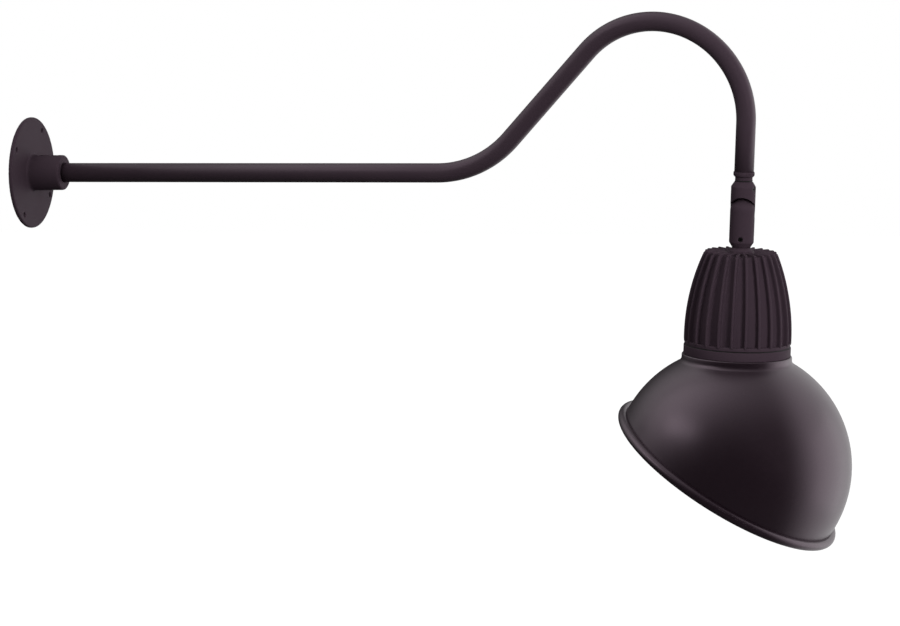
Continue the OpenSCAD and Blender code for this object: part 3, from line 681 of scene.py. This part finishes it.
def slice_row(core, edge):
    """Points across one slice, from groove middle over the fin to the next groove middle."""
    (core_r, core_z), (edge_r, edge_z) = core, edge
    half_t = FIN_T / 2
    half_slice = math.pi / FIN_COUNT
    groove = core_r * math.sin(half_slice) - half_t
    root = max(LEAST_ROOT_R, min(FIN_ROOT_R, GROOVE_SHARE * groove))
    rise = Vector((edge_r - core_r, edge_z - core_z))
    height = rise.length
    up_fin = rise / height if height > TINY else Vector((1, 0))

    def at(y, lift):
        """A point y off the fin's middle, lifted along the fin from the core."""
        lift = min(lift, height)
        reach = math.sqrt(max(core_r ** 2 - y ** 2, 0)) if lift <= 0 else core_r
        return Vector((reach + up_fin.x * max(lift, 0), y, core_z + up_fin.y * max(lift, 0)))

    half = []
    floor_angle = math.asin(min(1, (half_t + root) / core_r))
    for share in (0, 0.5, 1):
        turn = half_slice + (floor_angle - half_slice) * share
        half.append(Vector((core_r * math.cos(turn), core_r * math.sin(turn), core_z)))
    for lean in QUARTER_TURN:
        half.append(at(half_t + root * (1 - math.sin(lean)), root * (1 - math.cos(lean))))
    for share in (0.5, 1.0):
        half.append(at(half_t, root + (max(height - FIN_TIP_R, root) - root) * share))
    for lean in QUARTER_TURN:
        half.append(at(half_t - FIN_TIP_R * (1 - math.cos(lean)),
                       height - FIN_TIP_R * (1 - math.sin(lean))))
    half.append(at(0, height))
    return half + [Vector((p.x, -p.y, p.z)) for p in reversed(half[:-1])]


slice_shape = bmesh.new()
rows = [[slice_shape.verts.new(p) for p in slice_row(core, edge)] for core, edge in sink_outlines()]
for lower, upper in zip(rows, rows[1:]):
    for i in range(len(lower) - 1):
        slice_shape.faces.new((lower[i], lower[i + 1], upper[i + 1], upper[i]))
slice_mesh = as_mesh("sink slice", slice_shape)
print("faces of a slice:", len(slice_mesh.polygons))

# %% [markdown]
# Copies about an axis are a job for Geometry Nodes: one point for each copy, a turn worked out from
# its index, and the slice as an instance on every point. The copies become real geometry, and their
# seams are merged. The knurl of the stem uses the same tree later, with other sizes.

# %% Copies about an axis
around = GeometryRecipe("copies about an axis", Count="NodeSocketInt", Turn="NodeSocketFloat",
                        Weld="NodeSocketFloat")
spots = around.node("GeometryNodePoints", None, {"Count": around.given["Count"]})
index = Value(around, around.node("GeometryNodeInputIndex").outputs[0])
turn = index * math.tau / Value(around, around.given["Count"]) + Value(around, around.given["Turn"])
spin = around.node("ShaderNodeCombineXYZ", None, {"Z": turn})
copies = around.node("GeometryNodeInstanceOnPoints", None, {
    "Points": spots.outputs[0], "Instance": around.given["Geometry"], "Rotation": spin.outputs[0]})
real = around.node("GeometryNodeRealizeInstances", None, {"Geometry": copies.outputs[0]})
welded = around.node("GeometryNodeMergeByDistance", None, {
    "Geometry": real.outputs[0], "Distance": around.given["Weld"]})
around.finish(welded.outputs[0])
print("nodes of the recipe:", len(around.tree.nodes))

# %% [markdown]
# The slices are only the outer skin of the casting. Its flange, its cavity and the ring round the
# boss are turned surfaces, so a lathe makes them, and two bridges join both parts into one closed
# solid: one hidden under the fins' feet, and one at the boss.

# %% The finned heat sink
CAVITY_R, CAVITY_ROOF, CARRIER_R, CARRIER_T, THREAD_R = 26, 20, 40.15, 5, 8.05
FLANGE_HIDDEN, BOSS_LAP, SLICE_WELD, SINK_CREASE = 8, 1, 0.01, 40

slice_turn = math.radians(FIN_TURN + 180 / FIN_COUNT - 90)
sink_shape = grown(in_scene("sink slice", slice_mesh), around, Count=FIN_COUNT, Turn=slice_turn,
                   Weld=SLICE_WELD, Coat=cast_coat)
inside = lathe(rounded([
    (SINK_R - FLANGE_HIDDEN, z_base + FLANGE_T, 0), (SINK_R - FIN_OVERHANG, z_base + FLANGE_T, 0.8),
    (SINK_R - FIN_OVERHANG, z_base, 0.5), (CARRIER_R, z_base, 0.3), (CARRIER_R, z_base + CARRIER_T, 0),
    (CAVITY_R, z_base + CARRIER_T, 0.3), (CAVITY_R, z_sink - CAVITY_ROOF, 0),
    (THREAD_R, z_sink - CAVITY_ROOF, 0), (THREAD_R, z_sink, 0.3), (CONE_R + BOSS_LAP, z_sink, 0.8),
    (CONE_R + BOSS_LAP, z_sink - CROWN_H - BOSS_LAP, 0),
    (CONE_R - BOSS_LAP, z_sink - CROWN_H - BOSS_LAP, 0)]))
sink_shape.from_mesh(as_mesh("sink inside", inside))
middle = z_base + SINK_H / 2
for at_foot in (True, False):
    rims = [edge for edge in sink_shape.edges
            if edge.is_boundary and (edge.verts[0].co.z < middle) == at_foot]
    bmesh.ops.bridge_loops(sink_shape, edges=rims)
print("open edges of the heat sink:", sum(edge.is_boundary for edge in sink_shape.edges))
heat_sink = piece("finned_heat_sink", sink_shape, HEAD, cast_coat, "head", "heat_sink",
                  crease=SINK_CREASE)
print("heat sink faces:", len(heat_sink.data.polygons))

# %% [markdown]
# The shade is spun sheet: a straight neck, a ball-shaped dome whose mouth is tilted 30 degrees, and
# a bead rolled over the edge. The neck turns about the head's axis and the mouth about its own, so
# the dome's rings swing from one to the other along the ball. Every ring has the same number of
# points, so that any two can be joined.

# %% Rings of the shade
DOME_R, SHADE_T, SHADE_TILT, SKIRT_H = 129.4, 2.0, 30, 11.5
BEAD_R, BEAD_OUT = 5.4, 1.5
NECK_R, NECK_H, NECK_FILLET, LIP_R = 59.8, 7.9, 6.0, 1.8
GASKET_T, COLLAR_H = 1.0, 9.8
SHADE_COLUMNS = 240

z_shade = z_base - GASKET_T - COLLAR_H
dome_z = z_shade - NECK_H - math.sqrt(DOME_R ** 2 - NECK_R ** 2)
dome_middle = Vector((0, 0, dome_z))
tilt = math.radians(SHADE_TILT)
mouth_up = Vector((math.sin(tilt), 0, math.cos(tilt)))
mouth_x = Vector((math.cos(tilt), 0, -math.sin(tilt)))
columns = [(math.cos(math.tau * i / SHADE_COLUMNS), math.sin(math.tau * i / SHADE_COLUMNS))
           for i in range(SHADE_COLUMNS)]


def neck_ring(reach, height):
    """A ring about the head's axis."""
    return [Vector((reach * c, reach * s, height)) for c, s in columns]


def mouth_ring(reach, level):
    """A ring about the mouth's axis, at a level above the dome's middle."""
    centre = dome_middle + mouth_up * level
    return [centre + (mouth_x * c + side * s) * reach for c, s in columns]


def dome_rings(radius, top_reach, count):
    """Rings on the ball from the circle where the neck meets it down to the equator."""
    lean = math.asin(top_reach / radius)
    neck_edge = [Vector((math.sin(lean) * c, math.sin(lean) * s, math.cos(lean))) for c, s in columns]
    equator = [mouth_x * c + side * s for c, s in columns]
    return [[dome_middle + top.slerp(foot, step / count) * radius
             for top, foot in zip(neck_edge, equator)] for step in range(count + 1)]


def bead_rings(start, end, count):
    """Rings round the bead, between two angles in its section."""
    angles = [math.radians(start + (end - start) * i / count) for i in range(count + 1)]
    return [mouth_ring(DOME_R + BEAD_OUT + BEAD_R * math.cos(a), -SKIRT_H + BEAD_R * math.sin(a))
            for a in angles]


print("points of a ring:", len(columns))

# %% [markdown]
# Outside and inside are one closed skin. The outside goes from the seat on the collar over a soft
# lip, down the neck's fillet, along the ball to the mouth and round the bead. The inside follows it
# back, one sheet thickness further in. It is bronze outside and white inside, as such shades are.

# %% The dome shade
SPIGOT_R, SEAT_FIT = 53.5, 0.15
DOME_STEPS, FILLET_STEPS, BEAD_STEPS, SHADE_CREASE = 36, 6, 20, 28

fillet_reach = NECK_R + NECK_FILLET
fillet_z = dome_z + math.sqrt((DOME_R + NECK_FILLET) ** 2 - fillet_reach ** 2)
contact_reach = fillet_reach * DOME_R / (DOME_R + NECK_FILLET)
fillet_turn = math.pi / 2 - math.asin(fillet_reach / (DOME_R + NECK_FILLET))
hole_r = SPIGOT_R + SEAT_FIT
bead_top = math.degrees(math.acos(-BEAD_OUT / BEAD_R))
bead_foot = math.degrees(math.acos((BEAD_OUT + SHADE_T) / BEAD_R)) - 180

outside = [neck_ring(hole_r, z_shade), neck_ring(NECK_R - LIP_R, z_shade)]
outside += [neck_ring(NECK_R - LIP_R * (1 - math.sin(lean)), z_shade - LIP_R * (1 - math.cos(lean)))
            for lean in QUARTER_TURN]
for step in range(FILLET_STEPS):
    lean = fillet_turn * step / FILLET_STEPS
    outside.append(neck_ring(fillet_reach - NECK_FILLET * math.cos(lean),
                             fillet_z - NECK_FILLET * math.sin(lean)))
outside += dome_rings(DOME_R, contact_reach, DOME_STEPS)
outside += [mouth_ring(DOME_R, -SKIRT_H / 3)]
outside += bead_rings(bead_top, bead_foot, BEAD_STEPS)
within = [mouth_ring(DOME_R - SHADE_T, -SKIRT_H), mouth_ring(DOME_R - SHADE_T, -SKIRT_H / 3)]
within += list(reversed(dome_rings(DOME_R - SHADE_T, NECK_R - SHADE_T, DOME_STEPS)))
within += [neck_ring(NECK_R - SHADE_T, z_shade - SHADE_T), neck_ring(hole_r, z_shade - SHADE_T)]

shade_shape = bmesh.new()
faces = skin(shade_shape, outside + within, closed=True)
for face in faces[(len(outside) - 1) * SHADE_COLUMNS:]:
    face.material_index = 1
shade = piece("dome_shade", shade_shape, HEAD, shade_coat, "head", "shade", crease=SHADE_CREASE)
shade.data.materials.append(white_coat)
print("shade faces:", len(shade.data.polygons))

# %% [markdown]
# The collar, the stem at the pipe's end and the cone on the heat sink are turned parts, so a lathe
# with round corners makes each. Every outline starts and ends on a straight stretch, a little away
# from any corner, so that its seam doesn't show. The collar closes the heat sink from below: a web under the
# gasket, and a spigot that the shade hangs on.

# %% The collar
WEB_R, WEB_T, COLLAR_INSET, BORE_R, SPIGOT_L = 40.5, 4, 0.4, 50, 10
SEAM_AWAY, COLLAR_SEGMENTS = 4, 180

collar_r = SINK_R - COLLAR_INSET
collar_top = z_base - GASKET_T
web_foot, spigot_foot = collar_top - WEB_T, z_shade - SPIGOT_L
collar_outline = rounded([
    (WEB_R + SEAM_AWAY, web_foot, 0), (BORE_R, web_foot, 0.5), (BORE_R, spigot_foot, 0.3),
    (SPIGOT_R, spigot_foot, 0.4), (SPIGOT_R, z_shade, 0), (collar_r, z_shade, 0.6),
    (collar_r, collar_top, 0.6), (WEB_R, collar_top, 0.2), (WEB_R, web_foot, 0.2),
    (WEB_R + SEAM_AWAY, web_foot, 0)])
collar = piece("shade_collar_turned", lathe(collar_outline, COLLAR_SEGMENTS), HEAD, cast_coat, "head",
               "shade_collar")
print("collar faces:", len(collar.data.polygons))

# %% [markdown]
# Both stems turn in the knuckle with the same end: a bored spigot with a groove that a lock screw
# reaches into, so that nothing drops off. Above it the arm's stem widens to a flange that stops the
# pipe, and below it the head's stem widens to the cone and goes on as a thread in the heat sink.

# %% Outlines of the stems
NECK_L, END_FLANGE_R, END_FLANGE_H, FLANGE_BEVEL = 5.4, 11.3, 5.4, 1.2
WIREWAY_R, STEM_GROOVE, LOCK_SCREW_D, THREAD_L = 4.5, 0.5, 5, 14
SHOULDER_GAP, BORE_FLOOR, KNUCKLE_R = 1.5, 4.2, 13.4
PIPE_FIT, THREAD_FIT, CONE_STEP = 0.05, 0.05, 0.5
UPPER_LOCK_IN, LOWER_LOCK_IN, SPIGOT_IN_PIPE = 7.5, 9.4, 18

stem_end = KNUCKLE_R + SHOULDER_GAP + BORE_FLOOR + 2 * END_GAP
groove_h = LOCK_SCREW_D + 2 * END_GAP
z_neck = UPPER_L + NECK_L
z_pipe_end = z_neck + END_FLANGE_H
z_spigot = z_pipe_end + SPIGOT_IN_PIPE
inside_pipe_r = PIPE_OD / 2 - PIPE_WALL - PIPE_FIT
thread_r = THREAD_R - THREAD_FIT


def stem_corners(near, far, groove_z):
    """The part of a stem that turns in the knuckle, from its end to the far level."""
    step = 1 if far > near else -1
    half = step * groove_h / 2
    groove_r = STEM_R - STEM_GROOVE
    return [(WIREWAY_R, near + step * SEAM_AWAY, 0), (WIREWAY_R, near, 0.3), (STEM_R, near, 0.5),
            (STEM_R, groove_z - half, 0.15), (groove_r, groove_z - half, 0.15),
            (groove_r, groove_z + half, 0.15), (STEM_R, groove_z + half, 0.15), (STEM_R, far, 0.8)]


arm_stem_outline = rounded(stem_corners(stem_end, z_neck, UPPER_L - UPPER_LOCK_IN) + [
    (END_FLANGE_R - FLANGE_BEVEL, z_neck, 0.3), (END_FLANGE_R, z_neck + FLANGE_BEVEL, 0.3),
    (END_FLANGE_R, z_pipe_end, 0.4), (inside_pipe_r, z_pipe_end, 0), (inside_pipe_r, z_spigot, 0.6),
    (WIREWAY_R, z_spigot, 0.4), (WIREWAY_R, stem_end + SEAM_AWAY, 0)])
head_stem_outline = rounded(stem_corners(-stem_end, z_sink + CONE_H, LOWER_LOCK_IN - LOWER_L) + [
    (STEM_R + CONE_STEP, z_sink + CONE_H, 0.2), (CONE_R, z_sink, 0.3), (thread_r, z_sink, 0),
    (thread_r, z_sink - THREAD_L, 0.5), (WIREWAY_R, z_sink - THREAD_L, 0.3),
    (WIREWAY_R, -stem_end - SEAM_AWAY, 0)])
print("stem ends at", round(stem_end, 1), "mm from the pivot")

# %% [markdown]
# The flange of the arm's stem is knurled. A knurl is rolled, so its ridges are low and round and fade
# out at both ends. One ridge is skinned between two points, repeated about the axis by the recipe of
# the heat sink's slices, and sunk a little into the flange.

# %% The stems and the knurl
RIDGE_COUNT, RIDGE_H, RIDGE_HALF, RIDGE_SUNK, RIDGE_END = 60, 0.22, 0.42, 0.03, 0.4
RIDGE_STEPS, RIDGE_LOW_GAP, RIDGE_TOP_GAP, RIDGE_WELD = 6, 0.5, 0.9, 0.0001

ridge_low = z_neck + FLANGE_BEVEL + RIDGE_LOW_GAP
ridge_top = z_pipe_end - RIDGE_TOP_GAP
ridge_x = END_FLANGE_R - RIDGE_SUNK


def ridge_ring(level):
    """A closed outline across one ridge of the knurl."""
    turns = [math.pi * i / RIDGE_STEPS for i in range(RIDGE_STEPS + 1)]
    return [(ridge_x + RIDGE_H * math.sin(t), RIDGE_HALF * math.cos(t), level) for t in turns]


ridge_shape = bmesh.new()
skin(ridge_shape, [[(ridge_x, 0, ridge_low)], ridge_ring(ridge_low + RIDGE_END),
                   ridge_ring(ridge_top - RIDGE_END), [(ridge_x, 0, ridge_top)]])
knurl = grown(in_scene("ridge", as_mesh("ridge", ridge_shape)), around, Count=RIDGE_COUNT, Turn=0.0,
              Weld=RIDGE_WELD, Coat=cast_coat)
stem_shape = lathe(arm_stem_outline)
stem_shape.from_mesh(as_mesh("knurl", knurl))
arm_stem = piece("stem_with_knurled_flange", stem_shape, HEAD, cast_coat, "arm", "arm_stem")
head_stem = piece("head_stem_with_cone", lathe(head_stem_outline), HEAD, cast_coat, "head", "head_stem")
print("stem faces:", len(arm_stem.data.polygons), len(head_stem.data.polygons))

# %% [markdown]
# The knuckle's two halves are castings with a round tongue each, and the wall plate is one with a
# hub. Such shapes are easiest to take from the CAD nodes themselves. A merged copy is remeshed in
# small cells and smoothed, which eases every edge as blasting and paint do, and keeps the screw holes
# and the running gap between the tongues.

# %% The swivel knuckle and the wall plate
KNUCKLE_CELL, PLATE_CELL = 0.42 * MM, 0.7 * MM
MERGE_DISTANCE, EASE_FACTOR, EASE_ROUNDS, CASTING_CREASE = 1e-6, 0.5, 4, 80


def eased_casting(name, node, body, cell):
    """A copy of a CAD node with its sharp edges eased."""
    shape = bmesh.new()
    shape.from_mesh(nodes[node].data)
    bmesh.ops.remove_doubles(shape, verts=shape.verts, dist=MERGE_DISTANCE)
    rough = in_scene(name + " rough", as_mesh(name, shape))
    cells = rough.modifiers.new("cells", "REMESH")
    cells.mode, cells.voxel_size = "VOXEL", cell
    ease = rough.modifiers.new("ease", "SMOOTH")
    ease.factor, ease.iterations = EASE_FACTOR, EASE_ROUNDS
    return piece(name, finished(rough), Matrix.Identity(4), cast_coat, body, node,
                 crease=CASTING_CREASE)


upper_half = eased_casting("knuckle_upper_half", "swivel_upper", "upper_knuckle", KNUCKLE_CELL)
lower_half = eased_casting("knuckle_lower_half", "swivel_lower", "lower_knuckle", KNUCKLE_CELL)
plate = eased_casting("wall_plate_with_hub", "wall_plate", "arm", PLATE_CELL)
print("eased castings:", [len(made.data.polygons) for made in (upper_half, lower_half, plate)])

# %% [markdown]
# What is still bare is dressed last. The screws, the gaskets, the driver, the lens and all the other
# small pieces are shown as their CAD nodes, which stay untouched and only get a finish. The nodes
# that a finished piece replaces get theirs too, so that no node is without one.

# %% Finishes on the CAD nodes
cad_finish = {
    "wall_plate": cast_coat, "arm_stem": cast_coat, "swivel_upper": cast_coat, "swivel_lower": cast_coat,
    "head_stem": cast_coat, "heat_sink": cast_coat, "shade_collar": cast_coat, "shade_nut": cast_coat,
    "lens_ring": cast_coat, "gooseneck_tube": pipe_coat, "shade": shade_coat,
    "hub_set_screws": black_oxide, "upper_lock_screw": black_oxide, "lower_lock_screw": black_oxide,
    "pivot_screw": black_oxide, "wall_gasket": black_rubber, "stem_seal_ring": black_rubber,
    "collar_gasket": black_rubber, "lens_gasket": black_rubber, "pivot_spring_washer": bright_steel,
    "driver_screws": bright_steel, "carrier_screws": bright_steel, "board_screws": bright_steel,
    "collar_screws": bright_steel, "pivot_friction_washer": ivory_washer, "driver": driver_case,
    "led_carrier": turned_aluminium, "thermal_pad": thermal_grey, "led_board": board_white,
    "led_chip": phosphor, "reflector": reflector_skin, "lens": clear_glass,
}
for name, finish in cad_finish.items():
    nodes[name].data.materials.clear()
    nodes[name].data.materials.append(finish)
print("nodes with a finish:", len(cad_finish), "of", len(nodes))
